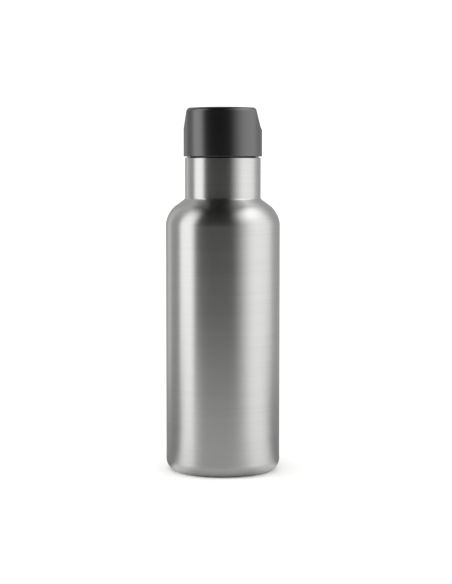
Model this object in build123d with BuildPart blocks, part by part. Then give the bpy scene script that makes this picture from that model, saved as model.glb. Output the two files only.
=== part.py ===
"""Vacuum-insulated steel water bottle with a screw-in lid that carries a loop.

The bottle stands on the XY plane with its axis on +Z. The opening of the lid's loop runs
along X, so the lid's two scooped sides face +X and -X. Lengths are in millimetres and
angles in degrees.
"""

import os
from math import cos, radians, sin, tan

from build123d import *

# ---- outer shell -----------------------------------------------------------------------
BODY_DIAMETER = 70.0
BODY_HEIGHT = 159.0  # where the straight side would meet the shoulder's cone
BASE_ROUND = 7.3  # bottom corner, on the outside
SHOULDER_SLOPE = 35.8  # the cone's angle above the horizontal
SHOULDER_ROUND = 14.7
NECK_DIAMETER = 46.4
NECK_LENGTH = 25.1  # from the crease at the shoulder to the rim
NECK_FILLET = 1.5
RIM_ROUND = 0.55
RIM_INNER_ROUND = 0.4
SHELL_WALL = 0.5
FOOT_WIDTH = 2.5  # flat ring that the bottle stands on

# ---- vacuum flask inside ---------------------------------------------------------------
VACUUM_GAP = 2.5
NECK_GAP = 1.1
LINER_WALL = 0.4
LINER_LIFT = 8.0  # underside of the liner above the floor
LINER_CORNER = 6.0
LINER_SEAM = 16.0  # height of the weld between the liner's tube and its base
RIM_WELD = 1.2  # depth over which liner and shell are one at the rim
FOIL_THICKNESS = 0.1
FOIL_MARGIN = 6.0  # bare liner left above the seam and below the shoulder

# ---- base ------------------------------------------------------------------------------
BASE_SHEET = 0.5
BASE_RECESS = 2.6  # height of the dish over the floor
BASE_LAP = 2.0  # how far the base's flange lies on the shell's turned-in lip
DIMPLE_DIAMETER = 9.0
DIMPLE_DEPTH = 1.2
PINHOLE_DIAMETER = 1.2
COVER_THICKNESS = 0.8
COVER_CLEARANCE = 0.3

# ---- getter ----------------------------------------------------------------------------
GETTER_DIAMETER = 8.0
GETTER_THICKNESS = 1.8
GETTER_OFFSET = 14.0
CLIP_SHEET = 0.3
CLIP_WIDTH = 5.0
CLIP_FOOT = 3.0

# ---- screw thread between neck and plug ------------------------------------------------
THREAD_PITCH = 4.0
THREAD_CREST = 0.8  # width of either ridge at its crest
THREAD_ROOT = 1.7  # width of either ridge at its wall
THREAD_SINK = 0.25  # how far a ridge runs into its wall, so that the two are one
THREAD_CLEARANCE = 0.3  # from either ridge's crest to the wall opposite
THREAD_DROP = 1.4  # the plug's ridge runs this far under the neck's
NECK_RIDGE = 0.85  # height of the ridge rolled into the liner's neck
NECK_RIDGE_TURNS = 1.5
NECK_RIDGE_START = 10.0  # lower end of the ridge under the rim
PLUG_RIDGE_TURNS = 1.5

# ---- lid -------------------------------------------------------------------------------
LID_DIAMETER = 48.1
LID_HEIGHT = 30.2
LID_CROWN = 0.8  # rise of the top from its edge to the middle
LID_WALL = 2.4
LID_EDGE_ROUND = 2.4
LID_FOOT_CHAMFER = 0.35
LID_TURN = -4.2  # where the thread comes tight, about +Z
SEAL_GAP = 0.7  # between the rim and the lid's underside
SCOOP_FLOOR = 12.1  # level that the scoop's curve would run out to, above the underside
SCOOP_ROUND = 9.0
SCOOP_SLOPE = 13.6  # from the vertical
SCOOP_STEP = 1.2  # how far in the sloping wall starts, from the lid's outside
SCOOP_DRAFT = 2.85  # either scoop turns this much towards +Y
LOOP_FLOOR = 17.4  # above the lid's underside
LOOP_BAR = 4.2  # thickness of the bar over the opening
LOOP_WIDTH_LOW = 10.0
LOOP_WIDTH_HIGH = 16.0
LOOP_CORNER = 3.0
LOOP_MOUTH_ROUND = 0.7

# ---- plug, seal and foam ---------------------------------------------------------------
PLUG_DEPTH = 15.4
PLUG_WALL = 2.0
PLUG_FLANGE = 2.2
PLUG_CORNER = 2.0
FLANGE_SEAT = 0.9  # width of the ledge inside the lid that the flange is welded to
FLANGE_CLEARANCE = 0.1
SEAL_INSET = 1.1  # seal's edge behind the neck's outside
SEAL_CLEARANCE = 0.1
FOAM_CLEARANCE = 0.2

# ---- worked out from the sizes above ---------------------------------------------------
body_radius = BODY_DIAMETER / 2
neck_radius = NECK_DIAMETER / 2
lid_radius = LID_DIAMETER / 2
crease_height = BODY_HEIGHT + (body_radius - neck_radius) * tan(radians(SHOULDER_SLOPE))
rim_height = crease_height + NECK_LENGTH
lid_underside = rim_height + SEAL_GAP
lid_top = lid_underside + LID_HEIGHT
liner_inset = SHELL_WALL + VACUUM_GAP
liner_neck_inset = SHELL_WALL + NECK_GAP
liner_radius = body_radius - liner_inset
bore_radius = neck_radius - liner_neck_inset - LINER_WALL
lip_radius = body_radius - BASE_ROUND - FOOT_WIDTH
dish_top = BASE_RECESS + BASE_SHEET
dimple_top = dish_top + DIMPLE_DEPTH
neck_ridge_crest = bore_radius - NECK_RIDGE
plug_radius = neck_ridge_crest - THREAD_CLEARANCE
plug_ridge_crest = bore_radius - THREAD_CLEARANCE
plug_bottom = lid_underside - PLUG_DEPTH
core_radius = lid_radius - LID_WALL
seat_radius = core_radius + FLANGE_SEAT
flange_top = lid_underside + PLUG_FLANGE
loop_low = lid_underside + LOOP_FLOOR
loop_high = lid_top - LOOP_BAR


def shoulder_corner(inset):
    """Height at which a wall set in from the outside would meet its own cone."""
    slope = radians(SHOULDER_SLOPE)
    return BODY_HEIGHT + inset * tan(slope) - inset / cos(slope)


def flask_outline(inset, neck_inset, floor, corner):
    """Half section in XZ of everything within a wall set in from the outside."""
    side = body_radius - inset
    neck = neck_radius - neck_inset
    shoulder = shoulder_corner(inset)
    crease = shoulder + (side - neck) * tan(radians(SHOULDER_SLOPE))
    with BuildSketch(Plane.XZ) as outline:
        with BuildLine():
            FilletPolyline(
                (0, floor),
                (side, floor),
                (side, shoulder),
                (neck, crease),
                (neck, rim_height),
                radius=[corner, SHOULDER_ROUND - inset, NECK_FILLET + inset],
            )
            Polyline((neck, rim_height), (0, rim_height), (0, floor))
        make_face()
    return outline.sketch


def ring(inner, outer, low, high):
    """Half section in XZ of a ring, or of a disc when inner is 0."""
    with BuildSketch(Plane.XZ) as section:
        with Locations(((inner + outer) / 2, (low + high) / 2)):
            Rectangle(outer - inner, high - low)
    return section.sketch


def screw_ridge(root_radius, crest_radius, start, turns):
    """A right-hand helical ridge whose middle is at height start over +X."""
    outward = 1 if crest_radius > root_radius else -1
    sunk = root_radius - outward * THREAD_SINK
    rise = THREAD_PITCH * turns
    path = Helix(pitch=THREAD_PITCH, height=rise, radius=root_radius, center=(0, 0, start))
    with BuildSketch(Plane.XZ) as section:
        with BuildLine():
            Polyline(
                (sunk, start - THREAD_ROOT / 2),
                (crest_radius, start - THREAD_CREST / 2),
                (crest_radius, start + THREAD_CREST / 2),
                (sunk, start + THREAD_ROOT / 2),
                close=True,
            )
        make_face()
    return sweep(section.sketch, path=path, is_frenet=True, mode=Mode.PRIVATE)


def scoop(side, set_in):
    """Cutter for the lid's side at +X (side 1) or -X (side -1), moved in by set_in."""
    floor = lid_underside + SCOOP_FLOOR - set_in
    radius = SCOOP_ROUND + set_in
    slope = tan(radians(SCOOP_SLOPE))
    bend = floor + radius * (1 - sin(radians(SCOOP_SLOPE)))
    wall = lid_radius - SCOOP_STEP - set_in
    above = lid_top + LID_EDGE_ROUND
    head = wall - (above - bend) * slope
    foot = wall + (bend - floor) * slope
    outside = 2 * lid_radius
    with BuildSketch(Plane.XZ) as section:
        with BuildLine():
            FilletPolyline((head, above), (foot, floor), (outside, floor), radius=radius)
            Polyline((outside, floor), (outside, above), (head, above))
        make_face()
    cutter = extrude(section.sketch, amount=2 * lid_radius, both=True, mode=Mode.PRIVATE)
    heading = SCOOP_DRAFT if side == 1 else 180 - SCOOP_DRAFT
    return Rot(Z=heading + LID_TURN) * cutter


def loop_opening():
    """The way through under the loop's bar, along X."""
    with BuildSketch(Plane.YZ) as section:
        with BuildLine():
            Polyline(
                (-LOOP_WIDTH_LOW / 2, loop_low),
                (LOOP_WIDTH_LOW / 2, loop_low),
                (LOOP_WIDTH_HIGH / 2, loop_high),
                (-LOOP_WIDTH_HIGH / 2, loop_high),
                close=True,
            )
        make_face()
        fillet(section.vertices(), LOOP_CORNER)
    return Rot(Z=LID_TURN) * extrude(section.sketch, amount=2 * lid_radius, both=True, mode=Mode.PRIVATE)


def loop_frame():
    """The plastic round the opening: a wall below and beside it, and the bar above."""
    low = loop_low - LID_WALL
    half_low = LOOP_WIDTH_LOW / 2 + LID_WALL
    half_high = LOOP_WIDTH_HIGH / 2 + LID_WALL
    with BuildSketch(Plane.YZ) as section:
        with BuildLine():
            Polyline(
                (-half_low, low),
                (half_low, low),
                (half_high, loop_high),
                (half_high, lid_top),
                (-half_high, lid_top),
                (-half_high, loop_high),
                close=True,
            )
        make_face()
    return Rot(Z=LID_TURN) * extrude(section.sketch, amount=2 * lid_radius, both=True, mode=Mode.PRIVATE)


def save(piece, name):
    """Names the piece and writes it as a STEP file of its own."""
    piece.part.label = name
    export_step(piece.part, f"parts/{name}.step")


os.makedirs("parts", exist_ok=True)

# ---- everything inside the outer skin of the steel bottle ------------------------------
with BuildPart() as skin:
    revolve(flask_outline(0, 0, 0, BASE_ROUND), axis=Axis.Z)
    fillet(skin.edges().group_by(Axis.Z)[-1], RIM_ROUND)

# ---- outer shell: drawn steel, open at the rim and inside the foot ring ----------------
with BuildPart() as outer_shell:
    add(skin.part)
    revolve(
        flask_outline(SHELL_WALL, SHELL_WALL, SHELL_WALL, BASE_ROUND - SHELL_WALL),
        axis=Axis.Z,
        mode=Mode.SUBTRACT,
    )
    revolve(ring(0, lip_radius, -SHELL_WALL, 2 * SHELL_WALL), axis=Axis.Z, mode=Mode.SUBTRACT)
save(outer_shell, "outer_shell")

# ---- outer base: shallow pan, flange inside the shell, dimple and pinhole in the middle --
with BuildPart() as outer_base:
    revolve(
        ring(lip_radius, lip_radius + BASE_LAP, SHELL_WALL, SHELL_WALL + BASE_SHEET),
        axis=Axis.Z,
    )
    revolve(ring(lip_radius, lip_radius + BASE_SHEET, SHELL_WALL, dish_top), axis=Axis.Z)
    revolve(ring(0, lip_radius + BASE_SHEET, BASE_RECESS, dish_top), axis=Axis.Z)
    dish_corner = outer_base.edges().filter_by(GeomType.CIRCLE).group_by(Axis.Z)[-1]
    fillet(dish_corner, BASE_SHEET / 2)
    revolve(ring(0, DIMPLE_DIAMETER / 2 + BASE_SHEET, dish_top, dimple_top), axis=Axis.Z)
    revolve(
        ring(0, DIMPLE_DIAMETER / 2, 0, dimple_top - BASE_SHEET),
        axis=Axis.Z,
        mode=Mode.SUBTRACT,
    )
    with Locations((0, 0, dimple_top)):
        Cylinder(PINHOLE_DIAMETER / 2, 4 * BASE_SHEET, mode=Mode.SUBTRACT)
save(outer_base, "outer_base")

# ---- solder-glass bead that closes the pinhole -----------------------------------------
with BuildPart() as vacuum_seal:
    revolve(ring(0, DIMPLE_DIAMETER / 2, BASE_RECESS, dimple_top - BASE_SHEET), axis=Axis.Z)
    bead_edge = vacuum_seal.edges().filter_by(GeomType.CIRCLE).group_by(Axis.Z)[0]
    fillet(bead_edge, DIMPLE_DEPTH / 2)
    revolve(
        ring(0, PINHOLE_DIAMETER / 2, dimple_top - 2 * BASE_SHEET, dimple_top),
        axis=Axis.Z,
    )
save(vacuum_seal, "vacuum_seal")

# ---- cover disc that hides the bead ----------------------------------------------------
with BuildPart() as base_cover:
    revolve(
        ring(0, lip_radius - COVER_CLEARANCE, BASE_RECESS - COVER_THICKNESS, BASE_RECESS),
        axis=Axis.Z,
    )
    cover_rim = base_cover.edges().filter_by(GeomType.CIRCLE).group_by(Axis.Z)[0]
    fillet(cover_rim, COVER_THICKNESS / 2)
save(base_cover, "base_cover")

# ---- getter pill and the strap that holds it on the base -------------------------------
with BuildPart() as getter:
    with Locations((GETTER_OFFSET, 0, dish_top)):
        Cylinder(
            GETTER_DIAMETER / 2,
            GETTER_THICKNESS,
            align=(Align.CENTER, Align.CENTER, Align.MIN),
        )
    fillet(getter.edges().group_by(Axis.Z)[-1], GETTER_THICKNESS / 6)
save(getter, "getter")

with BuildPart() as getter_clip:
    clip_inner = GETTER_DIAMETER / 2
    clip_outer = clip_inner + CLIP_SHEET
    getter_top = dish_top + GETTER_THICKNESS
    with BuildSketch(Plane.XZ):
        with BuildLine():
            Polyline(
                (GETTER_OFFSET - clip_outer - CLIP_FOOT, dish_top),
                (GETTER_OFFSET - clip_inner, dish_top),
                (GETTER_OFFSET - clip_inner, getter_top),
                (GETTER_OFFSET + clip_inner, getter_top),
                (GETTER_OFFSET + clip_inner, dish_top),
                (GETTER_OFFSET + clip_outer + CLIP_FOOT, dish_top),
                (GETTER_OFFSET + clip_outer + CLIP_FOOT, dish_top + CLIP_SHEET),
                (GETTER_OFFSET + clip_outer, dish_top + CLIP_SHEET),
                (GETTER_OFFSET + clip_outer, getter_top + CLIP_SHEET),
                (GETTER_OFFSET - clip_outer, getter_top + CLIP_SHEET),
                (GETTER_OFFSET - clip_outer, dish_top + CLIP_SHEET),
                (GETTER_OFFSET - clip_outer - CLIP_FOOT, dish_top + CLIP_SHEET),
                close=True,
            )
        make_face()
    extrude(amount=CLIP_WIDTH / 2, both=True)
save(getter_clip, "getter_clip")

# ---- drawn wall of the liner, from its floor to the rim --------------------------------
with BuildPart() as liner_wall:
    revolve(flask_outline(liner_inset, liner_neck_inset, LINER_LIFT, LINER_CORNER), axis=Axis.Z)
    revolve(ring(0, neck_radius - SHELL_WALL, rim_height - RIM_WELD, rim_height), axis=Axis.Z)
    revolve(
        flask_outline(
            liner_inset + LINER_WALL,
            liner_neck_inset + LINER_WALL,
            LINER_LIFT + LINER_WALL,
            LINER_CORNER - LINER_WALL,
        ),
        axis=Axis.Z,
        mode=Mode.SUBTRACT,
    )
    add(skin.part, mode=Mode.INTERSECT)
    mouth = liner_wall.edges().filter_by(GeomType.CIRCLE).group_by(Axis.Z)[-1]
    fillet(mouth.sort_by(SortBy.RADIUS)[0], RIM_INNER_ROUND)

# ---- liner: tube with shoulder, neck, rolled thread and the lip welded to the shell ----
with BuildPart() as inner_flask:
    add(liner_wall.part)
    revolve(ring(0, body_radius, 0, LINER_SEAM), axis=Axis.Z, mode=Mode.SUBTRACT)
    ridge_start = rim_height - NECK_RIDGE_START
    add(screw_ridge(bore_radius, neck_ridge_crest, ridge_start, NECK_RIDGE_TURNS))
save(inner_flask, "inner_flask")

# ---- liner's base: drawn cup, butt-welded to the tube ----------------------------------
with BuildPart() as inner_base:
    add(liner_wall.part)
    revolve(ring(0, body_radius, LINER_SEAM, 2 * rim_height), axis=Axis.Z, mode=Mode.SUBTRACT)
save(inner_base, "inner_base")

# ---- copper foil wrapped round the liner -----------------------------------------------
with BuildPart() as heat_foil:
    shoulder_run = (SHOULDER_ROUND - liner_inset) * tan(radians(90 - SHOULDER_SLOPE) / 2)
    foil_top = shoulder_corner(liner_inset) - shoulder_run - FOIL_MARGIN
    revolve(
        ring(liner_radius, liner_radius + FOIL_THICKNESS, LINER_SEAM + FOIL_MARGIN, foil_top),
        axis=Axis.Z,
    )
save(heat_foil, "heat_foil")

# ---- hollow inside the lid, open at the bottom -----------------------------------------
with BuildPart() as lid_core:
    ceiling = lid_top - LID_CROWN - LID_WALL
    revolve(ring(0, core_radius, lid_underside - LID_WALL, ceiling), axis=Axis.Z)
    add(scoop(1, LID_WALL), mode=Mode.SUBTRACT)
    add(scoop(-1, LID_WALL), mode=Mode.SUBTRACT)
    add(loop_frame(), mode=Mode.SUBTRACT)
    revolve(ring(0, seat_radius, lid_underside - LID_WALL, flange_top), axis=Axis.Z)

# ---- lid: crowned drum, a scoop in either side, a loop over the opening ----------------
with BuildPart() as lid_shell:
    with BuildSketch(Plane.XZ):
        with BuildLine():
            edge_height = lid_top - LID_CROWN
            Line((0, lid_underside), (lid_radius, lid_underside))
            Line((lid_radius, lid_underside), (lid_radius, edge_height))
            ThreePointArc(
                (lid_radius, edge_height),
                (lid_radius / 2, lid_top - LID_CROWN / 4),
                (0, lid_top),
            )
            Line((0, lid_top), (0, lid_underside))
        make_face()
    revolve(axis=Axis.Z)
    chamfer(lid_shell.edges().group_by(Axis.Z)[0], LID_FOOT_CHAMFER)
    add(scoop(1, 0), mode=Mode.SUBTRACT)
    add(scoop(-1, 0), mode=Mode.SUBTRACT)
    top_face = lid_shell.faces().sort_by(Axis.Z)[-1]
    fillet(top_face.edges(), LID_EDGE_ROUND)
    add(loop_opening(), mode=Mode.SUBTRACT)
    tunnel = lid_shell.faces().filter_by_position(Axis.Z, loop_low - 0.1, loop_high + 0.1)
    tunnel_walls = tunnel.filter_by(lambda face: abs(face.center().X) < LOOP_CORNER)
    mouths = tunnel_walls.edges().filter_by(lambda edge: edge.length < lid_radius)
    fillet(mouths, LOOP_MOUTH_ROUND)
    add(lid_core.part, mode=Mode.SUBTRACT)
save(lid_shell, "lid_shell")

# ---- plug: threaded cup with a flange, welded into the lid -----------------------------
with BuildPart() as lid_plug:
    revolve(ring(0, plug_radius, plug_bottom, flange_top), axis=Axis.Z)
    plug_corner = lid_plug.edges().filter_by(GeomType.CIRCLE).group_by(Axis.Z)[0]
    fillet(plug_corner, PLUG_CORNER)
    revolve(ring(0, seat_radius - FLANGE_CLEARANCE, lid_underside, flange_top), axis=Axis.Z)
    revolve(
        ring(0, plug_radius - PLUG_WALL, plug_bottom + PLUG_WALL, 2 * flange_top),
        axis=Axis.Z,
        mode=Mode.SUBTRACT,
    )
    ridge_start = rim_height - NECK_RIDGE_START - THREAD_DROP
    add(screw_ridge(plug_radius, plug_ridge_crest, ridge_start, PLUG_RIDGE_TURNS))
save(lid_plug, "lid_plug")

# ---- foam in the plug ------------------------------------------------------------------
with BuildPart() as lid_insulation:
    foam_radius = plug_radius - PLUG_WALL - FOAM_CLEARANCE
    revolve(ring(0, foam_radius, plug_bottom + PLUG_WALL, flange_top), axis=Axis.Z)
save(lid_insulation, "lid_insulation")

# ---- silicone ring between rim and lid -------------------------------------------------
with BuildPart() as lid_seal:
    revolve(
        ring(
            plug_radius + SEAL_CLEARANCE,
            neck_radius - SEAL_INSET,
            rim_height + SEAL_CLEARANCE,
            lid_underside - SEAL_CLEARANCE,
        ),
        axis=Axis.Z,
    )
    seal_rim = lid_seal.edges().filter_by(GeomType.CIRCLE).group_by(SortBy.RADIUS)[-1]
    fillet(seal_rim, SEAL_GAP / 5)
save(lid_seal, "lid_seal")
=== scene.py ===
from math import asin, cos, pi, radians, sin, tan

import bmesh
import bpy
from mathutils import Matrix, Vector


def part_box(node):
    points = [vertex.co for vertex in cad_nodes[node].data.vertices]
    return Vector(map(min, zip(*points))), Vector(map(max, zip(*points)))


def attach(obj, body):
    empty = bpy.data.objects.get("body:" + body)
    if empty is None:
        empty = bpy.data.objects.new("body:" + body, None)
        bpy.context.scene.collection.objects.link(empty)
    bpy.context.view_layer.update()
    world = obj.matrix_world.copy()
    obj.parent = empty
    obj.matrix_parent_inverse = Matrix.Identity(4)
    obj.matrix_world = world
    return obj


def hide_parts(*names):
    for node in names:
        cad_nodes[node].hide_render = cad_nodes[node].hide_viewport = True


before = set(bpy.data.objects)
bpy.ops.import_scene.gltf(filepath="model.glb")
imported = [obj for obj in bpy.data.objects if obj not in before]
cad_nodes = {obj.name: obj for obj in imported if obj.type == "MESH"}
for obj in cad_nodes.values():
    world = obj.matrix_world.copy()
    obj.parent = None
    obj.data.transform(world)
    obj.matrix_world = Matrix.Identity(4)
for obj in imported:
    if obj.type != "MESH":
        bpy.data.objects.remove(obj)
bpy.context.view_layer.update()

MM = 0.001

# ---- sizes, in millimetres; the large ones are read from the frame ---------------------
body_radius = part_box("outer_shell")[1][0] / MM
rim_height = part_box("outer_shell")[1][2] / MM
cover_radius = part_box("base_cover")[1][0] / MM
cover_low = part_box("base_cover")[0][2] / MM
cover_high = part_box("base_cover")[1][2] / MM
seal_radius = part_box("lid_seal")[1][0] / MM
seal_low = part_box("lid_seal")[0][2] / MM
seal_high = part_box("lid_seal")[1][2] / MM

NECK_RADIUS = 23.2
NECK_LENGTH = 25.1
NECK_FILLET = 1.5
SHOULDER_SLOPE = radians(35.8)
SHOULDER_ROUND = 14.7
BASE_ROUND = 7.3
SHELL_WALL = 0.5
RIM_ROUND = 0.55
SEAL_HOLE = 20.15
COVER_CLEARANCE = 0.3
FLOOR_RADIUS = 360
lip_radius = cover_radius + COVER_CLEARANCE

# ---- brightness ------------------------------------------------------------------------
WHITE = 1.2  # of the surroundings, to the eye and for diffuse light
ROOM = 0.04  # of the dim room that reflections meet
CEILING = 0.03  # share of the room's light left straight above


# ---- colour ----------------------------------------------------------------------------
def linear(hex_colour):
    """An sRGB hex colour such as "8a8780" as linear red, green, blue and alpha."""
    channels = []
    for at in (0, 2, 4):
        value = int(hex_colour[at:at + 2], 16) / 255
        channels.append(value / 12.92 if value <= 0.04045 else ((value + 0.055) / 1.055) ** 2.4)
    return (*channels, 1.0)


# ---- node trees ------------------------------------------------------------------------
def node(tree, kind, settings=None, links=None):
    """Adds a node, sets its properties and input sockets, and links what goes into it."""
    new = tree.nodes.new(kind)
    sockets = {}
    for key, value in (settings or {}).items():
        if isinstance(key, str) and hasattr(new, key):
            setattr(new, key, value)
        else:
            sockets[key] = value
    for key, value in sockets.items():
        new.inputs[key].default_value = value
    for key, source in (links or {}).items():
        tree.links.new(source, new.inputs[key])
    return new


def new_material(name, settings):
    """A material with a Principled shader, and the object's coordinates to build on."""
    material = bpy.data.materials.new(name)
    material.use_nodes = True
    tree = material.node_tree
    tree.nodes.clear()
    shader = node(tree, "ShaderNodeBsdfPrincipled", settings)
    node(tree, "ShaderNodeOutputMaterial", links={"Surface": shader.outputs["BSDF"]})
    place = node(tree, "ShaderNodeTexCoord").outputs["Object"]
    return material, tree, shader, place


def per_metre(millimetres):
    """Texture scale that gives features of that size on coordinates in metres."""
    return 1 / (millimetres * MM)


def brushed_steel(name, hex_dark, hex_light, rough_low, rough_high, settings, line_mm):
    """Stainless steel brushed on a lathe: hair lines run round the axis at every height.

    The lines stretch each highlight along the axis and leave it narrow round the body.
    line_mm is the spacing of the hair lines, drawn coarser than the real 0.05 mm to show.
    """
    material, tree, shader, place = new_material(name, {"Metallic": 1.0, **settings})
    hair = node(
        tree, "ShaderNodeMapping",
        {"Scale": (per_metre(60), per_metre(60), per_metre(line_mm))}, {"Vector": place},
    ).outputs["Vector"]
    lines = node(
        tree, "ShaderNodeTexNoise", {"Scale": 1.0, "Detail": 4.0, "Roughness": 0.62}, {"Vector": hair},
    ).outputs["Fac"]
    bands = node(
        tree, "ShaderNodeMapping",
        {"Scale": (per_metre(90), per_metre(90), per_metre(6 * line_mm))}, {"Vector": place},
    ).outputs["Vector"]
    passes = node(
        tree, "ShaderNodeTexNoise", {"Scale": 1.0, "Detail": 2.0}, {"Vector": bands},
    ).outputs["Fac"]
    both = node(
        tree, "ShaderNodeMix", {"data_type": "FLOAT", "Factor": 0.3}, {2: lines, 3: passes},
    ).outputs[0]
    colour = node(
        tree, "ShaderNodeMix",
        {"data_type": "RGBA", 6: linear(hex_dark), 7: linear(hex_light)}, {"Factor": both},
    ).outputs[2]
    rough = node(
        tree, "ShaderNodeMapRange",
        {"From Min": 0.3, "From Max": 0.7, "To Min": rough_low, "To Max": rough_high}, {"Value": both},
    ).outputs["Result"]
    relief = node(
        tree, "ShaderNodeBump", {"Strength": 0.25, "Distance": 0.01 * MM}, {"Height": lines},
    ).outputs["Normal"]
    round_axis = node(tree, "ShaderNodeTangent", {"direction_type": "RADIAL", "axis": "Z"})
    tree.links.new(colour, shader.inputs["Base Color"])
    tree.links.new(rough, shader.inputs["Roughness"])
    tree.links.new(relief, shader.inputs["Normal"])
    tree.links.new(round_axis.outputs["Tangent"], shader.inputs["Tangent"])
    return material


def speckled(name, hex_dark, hex_light, rough_low, rough_high, settings, grain_mm, depth_mm):
    """A surface whose colour, gloss and relief all vary with one fine grain."""
    material, tree, shader, place = new_material(name, settings)
    grain = node(
        tree, "ShaderNodeTexNoise",
        {"Scale": per_metre(grain_mm), "Detail": 3.0, "Roughness": 0.6}, {"Vector": place},
    ).outputs["Fac"]
    cloud = node(
        tree, "ShaderNodeTexNoise", {"Scale": per_metre(18), "Detail": 3.0}, {"Vector": place},
    ).outputs["Fac"]
    both = node(
        tree, "ShaderNodeMix", {"data_type": "FLOAT", "Factor": 0.5}, {2: grain, 3: cloud},
    ).outputs[0]
    colour = node(
        tree, "ShaderNodeMix",
        {"data_type": "RGBA", 6: linear(hex_dark), 7: linear(hex_light)}, {"Factor": both},
    ).outputs[2]
    rough = node(
        tree, "ShaderNodeMapRange",
        {"From Min": 0.3, "From Max": 0.7, "To Min": rough_low, "To Max": rough_high}, {"Value": both},
    ).outputs["Result"]
    relief = node(
        tree, "ShaderNodeBump", {"Strength": 0.4, "Distance": depth_mm * MM}, {"Height": grain},
    ).outputs["Normal"]
    tree.links.new(colour, shader.inputs["Base Color"])
    tree.links.new(rough, shader.inputs["Roughness"])
    tree.links.new(relief, shader.inputs["Normal"])
    return material


# Brushed 304 stainless steel: a soft vertical streak of every light, neutral grey.
shell_steel = brushed_steel(
    "stainless_steel_brushed_round", "a4a4a3", "bcbcbb", 0.3, 0.35,
    {"Anisotropic": 0.82, "Anisotropic Rotation": 0.25}, 0.5,
)
# Same steel, turned flat: rings of brushing on the cover disc.
disc_steel = brushed_steel(
    "stainless_steel_brushed_disc", "b4b0aa", "cfccc6", 0.28, 0.4,
    {"Anisotropic": 0.6, "Anisotropic Rotation": 0.25}, 0.5,
)
# Electropolished 304 steel: smoother and brighter, with a faint draw pattern.
liner_steel = brushed_steel(
    "stainless_steel_electropolished", "bdbab4", "d6d3cd", 0.16, 0.24,
    {"Anisotropic": 0.3, "Anisotropic Rotation": 0.25}, 0.8,
)
# Cold-rolled 304 sheet as pressed: dull grey with a grain and rolling marks.
mill_steel = speckled(
    "stainless_steel_mill_finish", "9a9894", "b9b7b2", 0.34, 0.46, {"Metallic": 1.0}, 0.4, 0.004,
)
# Black polypropylene from an eroded mould: deep black, satin, broad soft highlights.
lid_plastic = speckled(
    "polypropylene_black_satin_moulded", "040404", "080809", 0.27, 0.33,
    {"IOR": 1.58, "Specular IOR Level": 1.0}, 0.35, 0.006,
)
# Black polypropylene from a polished core: the same plastic, glossier.
plug_plastic = speckled(
    "polypropylene_black_smooth_moulded", "0e0e0f", "151516", 0.26, 0.34,
    {"IOR": 1.49}, 0.5, 0.003,
)
# Black food-grade silicone: dark and dull, with a faint bloom.
seal_silicone = speckled(
    "silicone_black_moulded", "0e0e0e", "1a1a1a", 0.48, 0.6,
    {"IOR": 1.41}, 0.3, 0.004,
)
# Rolled copper foil: bright, salmon pink, slightly crumpled.
foil_copper = speckled(
    "copper_foil_rolled", "c4764f", "e29a72", 0.18, 0.32, {"Metallic": 1.0}, 2.5, 0.03,
)
# Expanded polystyrene bead foam: matt white with rounded beads.
plug_foam = speckled(
    "polystyrene_bead_foam", "dedbd2", "f2f0ea", 0.7, 0.85, {}, 1.8, 0.15,
)
# Low-melting solder glass: dark, smooth and glossy, with a few bubbles.
bead_glass = speckled(
    "solder_glass_fused", "1c1a17", "34312b", 0.08, 0.16, {"IOR": 1.6}, 0.8, 0.01,
)
# Sintered zirconium alloy: dark, granular and dull.
getter_metal = speckled(
    "zirconium_alloy_sintered", "3a3a3c", "5a5a5c", 0.55, 0.75, {"Metallic": 1.0}, 0.25, 0.02,
)


# ---- pieces ----------------------------------------------------------------------------
def add_piece(name, mesh_builder, material, body, slot, *stands_for):
    """Makes the mesh an object that rides on a body and stands for CAD nodes."""
    mesh = bpy.data.meshes.new(name)
    mesh_builder.to_mesh(mesh)
    mesh_builder.free()
    mesh.shade_smooth()
    mesh.set_sharp_from_angle(angle=radians(35))
    mesh.materials.append(material)
    piece = bpy.data.objects.new(name, mesh)
    bpy.context.scene.collection.objects.link(piece)
    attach(piece, body)
    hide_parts(*stands_for)
    return piece


def turned(corners, steps=192, segments=8):
    """A closed section turned about +Z. Each corner is (radius, height, rounding) in mm."""
    section = bmesh.new()
    points = [section.verts.new((radius * MM, 0, height * MM)) for radius, height, _ in corners]
    for here, after in zip(points, points[1:] + points[:1]):
        section.edges.new((here, after))
    for at, (point, corner) in enumerate(zip(points, corners)):
        if corner[2]:
            runs = [edge.other_vert(point).co - point.co for edge in point.link_edges]
            turn = pi - runs[0].angle(runs[1])
            bmesh.ops.bevel(
                section, geom=[point], offset=corner[2] * MM * tan(turn / 2), offset_type="OFFSET",
                segments=segments, profile=0.5, affect="VERTICES", material=-1,
            )
    bmesh.ops.spin(
        section, geom=section.verts[:] + section.edges[:], cent=(0, 0, 0), axis=(0, 0, 1),
        dvec=(0, 0, 0), angle=2 * pi, steps=steps, use_merge=True,
    )
    bmesh.ops.remove_doubles(section, verts=section.verts, dist=0.0005 * MM)
    bmesh.ops.recalc_face_normals(section, faces=section.faces)
    return section


def smooth_copy(cad_name, name, material, body, slot):
    """A CAD node's own shape, joined up so that its curved faces shade smoothly."""
    copy = bmesh.new()
    copy.from_mesh(cad_nodes[cad_name].data)
    bmesh.ops.remove_doubles(copy, verts=copy.verts, dist=0.001 * MM)
    piece = add_piece(name, copy, material, body, slot, cad_name)
    weights = piece.modifiers.new("face_weights", "WEIGHTED_NORMAL")
    weights.keep_sharp = True
    return piece


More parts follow.
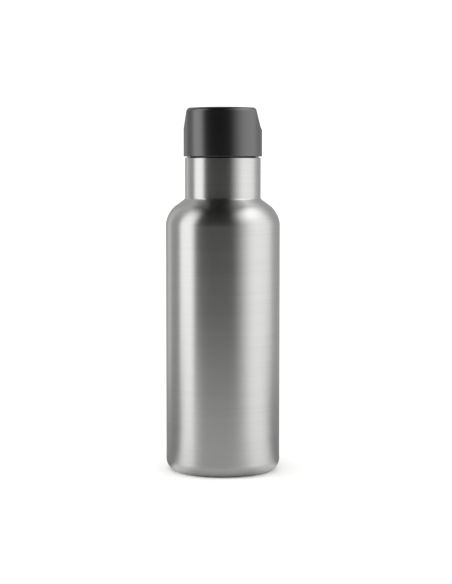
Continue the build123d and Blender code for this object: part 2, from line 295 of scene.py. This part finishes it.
# Outer shell: foot ring, body, shoulder, neck and the outer half of the rounded rim.
rim_slope = asin((RIM_ROUND - SHELL_WALL) / RIM_ROUND)
rim_drop = RIM_ROUND * (1 - cos(rim_slope))
rim_corner = rim_drop + SHELL_WALL * tan(rim_slope)
crease_height = rim_height + rim_drop - NECK_LENGTH
cone_rise = (body_radius - NECK_RADIUS) * tan(SHOULDER_SLOPE)
shoulder_height = crease_height - cone_rise
inner_shoulder = shoulder_height + SHELL_WALL * tan(SHOULDER_SLOPE) - SHELL_WALL / cos(SHOULDER_SLOPE)
inner_crease = inner_shoulder + cone_rise
shell = turned([
    (lip_radius, 0, 0.15),
    (body_radius, 0, BASE_ROUND),
    (body_radius, shoulder_height, SHOULDER_ROUND),
    (NECK_RADIUS, crease_height, NECK_FILLET),
    (NECK_RADIUS, rim_height + rim_drop - rim_corner, RIM_ROUND),
    (NECK_RADIUS - SHELL_WALL, rim_height, 0),
    (NECK_RADIUS - SHELL_WALL, inner_crease, NECK_FILLET + SHELL_WALL),
    (body_radius - SHELL_WALL, inner_shoulder, SHOULDER_ROUND - SHELL_WALL),
    (body_radius - SHELL_WALL, SHELL_WALL, BASE_ROUND - SHELL_WALL),
    (lip_radius, SHELL_WALL, 0.15),
], steps=256, segments=16)
add_piece("bottle_shell", shell, shell_steel, "bottle", "brushed_shell", "outer_shell")

# Silicone seal: a flat ring with a rounded outer edge, showing in the gap over the rim.
seal = turned([
    (SEAL_HOLE, seal_low, 0.1),
    (seal_radius, seal_low, 0.3),
    (seal_radius, seal_high, 0.3),
    (SEAL_HOLE, seal_high, 0.1),
], segments=4)
add_piece("seal_ring", seal, seal_silicone, "seal", "seal_rubber", "lid_seal")

# Cover disc in the foot: rolled edge and a shallow ring pressed into it.
cover = turned([
    (0, cover_low, 0),
    (cover_radius - 6.5, cover_low, 0.6),
    (cover_radius - 5.8, cover_low + 0.4, 0.3),
    (cover_radius - 3.8, cover_low + 0.4, 0.3),
    (cover_radius - 3.1, cover_low, 0.6),
    (cover_radius, cover_low, 0.3),
    (cover_radius, cover_high, 0.1),
    (0, cover_high, 0),
], segments=5)
add_piece("foot_cover", cover, disc_steel, "bottle", "brushed_disc", "base_cover")

# Lid, plug and liner keep their exact shapes, with faces joined so that they shade smoothly.
smooth_copy("lid_shell", "lid_with_loop", lid_plastic, "lid", "black_plastic")
smooth_copy("lid_plug", "threaded_plug", plug_plastic, "lid", "black_plug_plastic")
smooth_copy("inner_flask", "liner_with_thread", liner_steel, "bottle", "liner_steel")
smooth_copy("inner_base", "liner_base", liner_steel, "bottle", "liner_steel")

for cad_name, material in (
    ("outer_base", mill_steel),
    ("vacuum_seal", bead_glass),
    ("getter", getter_metal),
    ("getter_clip", mill_steel),
    ("heat_foil", foil_copper),
    ("lid_insulation", plug_foam),
):
    for slot in cad_nodes[cad_name].material_slots:
        slot.material = material

# ---- floor -----------------------------------------------------------------------------
floor_mesh = bmesh.new()
bmesh.ops.create_circle(floor_mesh, cap_ends=True, segments=96, radius=FLOOR_RADIUS * MM)
floor_data = bpy.data.meshes.new("floor")
floor_mesh.to_mesh(floor_data)
floor_mesh.free()
floor = bpy.data.objects.new("floor", floor_data)
bpy.context.scene.collection.objects.link(floor)
paper = speckled(
    "paper_white_matt", "f4f4f3", "f8f8f7", 0.7, 0.8, {}, 2.0, 0.02,
)
# Reflections meet the paper dimmer than the eye does, so that the steel keeps its depth. Its colour
# holds painted light and shade: mid grey in front, pale beside the bottle as painted light where the side
# lights fall, and dark behind it as painted shade.
sheet = paper.node_tree
seen = next(n for n in sheet.nodes if n.type == "BSDF_PRINCIPLED")
out = next(n for n in sheet.nodes if n.type == "OUTPUT_MATERIAL")
spot = node(
    sheet, "ShaderNodeSeparateXYZ", links={"Vector": node(sheet, "ShaderNodeTexCoord").outputs["Object"]},
)
facing = node(sheet, "ShaderNodeMath", {"operation": "MULTIPLY", 1: -1.0}, {0: spot.outputs["Y"]})
around = node(
    sheet, "ShaderNodeMath", {"operation": "ARCTAN2"}, {0: spot.outputs["X"], 1: facing.outputs[0]},
).outputs[0]
from_middle = node(sheet, "ShaderNodeMath", {"operation": "ABSOLUTE"}, {0: around}).outputs[0]
aside, left_back, right_back = (
    node(
        sheet, "ShaderNodeMapRange",
        {"interpolation_type": "SMOOTHSTEP", "From Min": radians(start), "From Max": radians(end),
         "To Min": before, "To Max": after},
        {"Value": angle},
    ).outputs["Result"]
    for angle, start, end, before, after in (
        (from_middle, 30, 58, 0.0, 1.0), (around, -90, -70, 1.0, 0.0), (around, 74, 110, 0.0, 1.0),
    )
)
behind = node(sheet, "ShaderNodeMath", {"operation": "ADD"}, {0: left_back, 1: right_back}).outputs[0]
# Painted light: the paper's colour is paler beside the bottle, where the side lights fall.
painted_side_light = node(
    sheet, "ShaderNodeMix", {"data_type": "RGBA", 6: linear("d2d2d2"), 7: linear("ffffff")},
    {"Factor": aside},
).outputs[2]
# Painted shade: the paper's colour turns dark grey behind the bottle.
shade = node(
    sheet, "ShaderNodeMix", {"data_type": "RGBA", 7: linear("8c8c8c")}, {"Factor": behind, 6: painted_side_light},
).outputs[2]
# Reflections see the paper in this colour of painted light and shade.
grey = node(sheet, "ShaderNodeBsdfDiffuse", links={"Color": shade})
either = node(
    sheet, "ShaderNodeMixShader",
    links={0: node(sheet, "ShaderNodeLightPath").outputs["Is Glossy Ray"], 1: seen.outputs["BSDF"],
           2: grey.outputs["BSDF"]},
)
sheet.links.new(either.outputs[0], out.inputs["Surface"])
floor_data.materials.append(paper)

# ---- studio surroundings ---------------------------------------------------------------
# White all round to the eye and for diffuse light. Reflections meet a dim room instead, lit
# by tall bands of light: a narrow one at the left, a broad one at the right.
world = bpy.data.worlds.new("studio")
world.use_nodes = True
world.cycles.sampling_method = "NONE"
bpy.context.scene.world = world
sky = world.node_tree
sky.nodes.clear()
heading = node(
    sky, "ShaderNodeSeparateXYZ", links={"Vector": node(sky, "ShaderNodeTexCoord").outputs["Generated"]},
)
toward_front = node(sky, "ShaderNodeMath", {"operation": "MULTIPLY", 1: -1.0}, {0: heading.outputs["Y"]})
azimuth = node(
    sky, "ShaderNodeMath", {"operation": "ARCTAN2"},
    {0: heading.outputs["X"], 1: toward_front.outputs[0]},
).outputs[0]
from_front = node(sky, "ShaderNodeMath", {"operation": "ABSOLUTE"}, {0: azimuth}).outputs[0]


def add_band(total, angle, centre, flat, fade, level):
    """Adds an upright band of light to the total. It is level over the flat degrees on either
    side of its centre, and dies away over the next fade degrees. 0 is in front, 90 at +X."""
    off = node(sky, "ShaderNodeMath", {"operation": "SUBTRACT", 1: radians(centre)}, {0: angle})
    away = node(sky, "ShaderNodeMath", {"operation": "ABSOLUTE"}, {0: off.outputs[0]})
    shine = node(
        sky, "ShaderNodeMapRange",
        {"interpolation_type": "SMOOTHSTEP", "From Min": radians(flat), "From Max": radians(flat + fade),
         "To Min": level, "To Max": 0.0},
        {"Value": away.outputs[0]},
    )
    return node(
        sky, "ShaderNodeMath", {"operation": "ADD"}, {0: total, 1: shine.outputs["Result"]},
    ).outputs[0]


room = node(sky, "ShaderNodeValue")
room.outputs[0].default_value = ROOM
lit = add_band(room.outputs[0], azimuth, -78, 11, 13, 2.08)  # strip light at the left
lit = add_band(lit, azimuth, -118, 20, 14, 0.5)  # grey wall behind it
lit = add_band(lit, azimuth, 82, 12, 53, 1.72)  # broad wall of light at the right
lit = add_band(lit, from_front, 180, 38, 24, 0.5)  # grey wall behind the bottle
leaning = node(sky, "ShaderNodeMath", {"operation": "MULTIPLY", 1: 0.095}, {0: heading.outputs["X"]})
height = node(
    sky, "ShaderNodeMath", {"operation": "SUBTRACT"}, {0: heading.outputs["Z"], 1: leaning.outputs[0]},
)
ceiling = node(
    sky, "ShaderNodeMapRange",
    {"interpolation_type": "SMOOTHSTEP", "From Min": 0.785, "From Max": 0.88,
     "To Min": 1.0, "To Max": CEILING},
    {"Value": height.outputs[0]},
).outputs["Result"]
# The room is dark overhead; the dark begins higher up on the right.
under_ceiling = node(sky, "ShaderNodeMath", {"operation": "MULTIPLY"}, {0: lit, 1: ceiling}).outputs[0]
# The wall of light at the right is brightest high up.
high = node(
    sky, "ShaderNodeMapRange",
    {"interpolation_type": "SMOOTHSTEP", "From Min": 0.4, "From Max": 0.8}, {"Value": heading.outputs["Z"]},
).outputs["Result"]
right = node(
    sky, "ShaderNodeMapRange",
    {"interpolation_type": "SMOOTHSTEP", "From Min": 0.1, "From Max": 0.45, "To Max": 0.7},
    {"Value": heading.outputs["X"]},
).outputs["Result"]
raised = node(sky, "ShaderNodeMath", {"operation": "MULTIPLY_ADD", 2: 1.0}, {0: high, 1: right}).outputs[0]
reflected = node(
    sky, "ShaderNodeMath", {"operation": "MULTIPLY"}, {0: under_ceiling, 1: raised},
).outputs[0]
ray = node(sky, "ShaderNodeLightPath")
strength = node(
    sky, "ShaderNodeMix", {"data_type": "FLOAT", 2: WHITE},
    {"Factor": ray.outputs["Is Glossy Ray"], 3: reflected},
).outputs[0]
glow = node(sky, "ShaderNodeBackground", {"Color": linear("ffffff")}, {"Strength": strength})
node(sky, "ShaderNodeOutputWorld", links={"Surface": glow.outputs["Background"]})


def softbox(name, bearing, distance, centre_height, width, tall, power):
    """A rectangular light facing the bottle's axis, unseen in reflections, that lights the
    paper. Bearing 0 is in front, 90 at +X; lengths are in metres."""
    light = bpy.data.lights.new(name, "AREA")
    light.shape = "RECTANGLE"
    light.size = width
    light.size_y = tall
    light.energy = power
    lamp = bpy.data.objects.new(name, light)
    lamp.visible_glossy = False
    turn = radians(bearing)
    lamp.location = (distance * sin(turn), -distance * cos(turn), centre_height)
    lamp.rotation_euler = (pi / 2, 0, turn)
    bpy.context.scene.collection.objects.link(lamp)


softbox("left_light", -78, 1.0, 0.45, 0.3, 0.7, 6)
softbox("right_light", 78, 1.0, 0.45, 0.8, 0.7, 3)
softbox("front_light", 0, 1.4, 0.6, 0.8, 0.6, 3)

# ---- camera ----------------------------------------------------------------------------
bpy.context.scene.view_settings.view_transform = "Standard"
camera_data = bpy.data.cameras.new("camera")
camera_data.lens = 103.46
camera_data.clip_start = 0.05
camera = bpy.data.objects.new("camera", camera_data)
camera.location = (0.00193, -1.031, 0.19117)
camera.rotation_euler = (radians(90 - 4.497), 0, 0)
bpy.context.scene.collection.objects.link(camera)
bpy.context.scene.camera = camera
